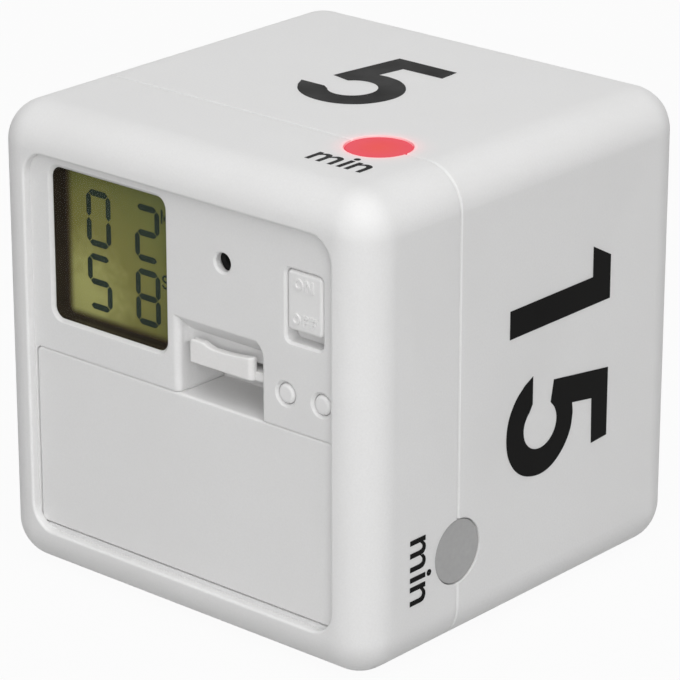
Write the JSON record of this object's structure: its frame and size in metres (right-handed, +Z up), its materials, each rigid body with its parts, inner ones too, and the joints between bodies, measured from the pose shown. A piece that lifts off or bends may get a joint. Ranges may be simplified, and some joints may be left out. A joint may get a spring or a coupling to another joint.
{
  "type": "cube timer",
  "caption": "Countdown timer in a rounded plastic cube: display, switch, keys, battery door with sprung latch, and a light window on each side face.",
  "frame": {"origin": "centre of the cube's footprint on the surface it stands on", "axes": "+Z up, -Y out of the display face, +X to the right as seen facing the display"},
  "size_m": [0.06, 0.06, 0.06],
  "materials": {
    "white_shell": "satin moulded ABS",
    "latch_white": "satin moulded ABS",
    "clear_window": "clear",
    "black_plastic": "satin",
    "display_glass": "satin",
    "light_window": "frosted",
    "elastomer": "matt",
    "circuit_board": "solder mask",
    "resin": "smooth",
    "bright_metal": "satin",
    "contact_metal": "nickel plated",
    "led_resin": "clear red",
    "cell_jacket": "plastic sleeve over metal",
    "screw_metal": "zinc plated"
  },
  "bodies": {
    "housing": {"front_housing": "white_shell", "rear_housing": "white_shell", "display_window": "clear_window", "display_bezel": "black_plastic", "lcd_panel": "display_glass", "window_5": "light_window", "window_15": "light_window", "window_30": "light_window", "window_60": "light_window", "zebra_strips": "elastomer", "display_board": "circuit_board", "controller_chip": "resin", "clock_crystal": "bright_metal", "buzzer": "black_plastic", "slide_switch": "bright_metal", "pre_alarm_switch": "bright_metal", "led_switch": "bright_metal", "main_board": "circuit_board", "led_5": "led_resin", "led_15": "led_resin", "led_30": "led_resin", "led_60": "led_resin", "header_strips": "black_plastic", "header_pins": "contact_metal", "tilt_switches": "bright_metal", "tilt_plugs": "black_plastic", "battery_upper": "cell_jacket", "battery_lower": "cell_jacket", "bridge_contact": "contact_metal", "positive_contact": "contact_metal", "negative_contact": "contact_metal", "bridge_spring": "contact_metal", "negative_spring": "contact_metal", "case_screws": "screw_metal", "display_board_screws": "screw_metal", "main_board_screws": "screw_metal"},
    "battery_door": {"battery_door": "white_shell"},
    "door_latch": {"door_latch": "latch_white"},
    "slider": {"on_off_slider": "white_shell", "switch_actuator": "black_plastic"},
    "pre_alarm_key": {"pre_alarm_button": "white_shell", "pre_alarm_plunger": "black_plastic"},
    "led_key": {"led_button": "white_shell", "led_plunger": "black_plastic"},
    "left_ball": {"tilt_ball_left": "contact_metal"},
    "right_ball": {"tilt_ball_right": "contact_metal"}
  },
  "joints": [
    {"name": "door_hinge", "type": "hinge", "parent": "housing", "child": "battery_door", "pos_m": [0, -0.0282, 0.00795], "axis": [1, 0, 0], "range_deg": [0, 90]},
    {"name": "latch_press", "type": "hinge", "parent": "battery_door", "child": "door_latch", "pos_m": [0.0064, -0.02065, 0.0311], "axis": [1, 0, 0], "range_deg": [0, 8], "stiffness_Nm_per_rad": 0.05},
    {"name": "on_off_slide", "type": "slide", "parent": "housing", "child": "slider", "axis": [0, 0, -1], "range_m": [0, 0.00135]},
    {"name": "pre_alarm_press", "type": "slide", "parent": "housing", "child": "pre_alarm_key", "axis": [0, 1, 0], "range_m": [0, 0.0004], "stiffness_N_per_m": 400},
    {"name": "led_press", "type": "slide", "parent": "housing", "child": "led_key", "axis": [0, 1, 0], "range_m": [0, 0.0004], "stiffness_N_per_m": 400},
    {"name": "left_ball_roll", "type": "slide", "parent": "housing", "child": "left_ball", "axis": [0.7071, 0, 0.7071], "range_m": [0, 0.0026]},
    {"name": "right_ball_roll", "type": "slide", "parent": "housing", "child": "right_ball", "axis": [-0.7071, 0, 0.7071], "range_m": [0, 0.0026]}
  ]
}
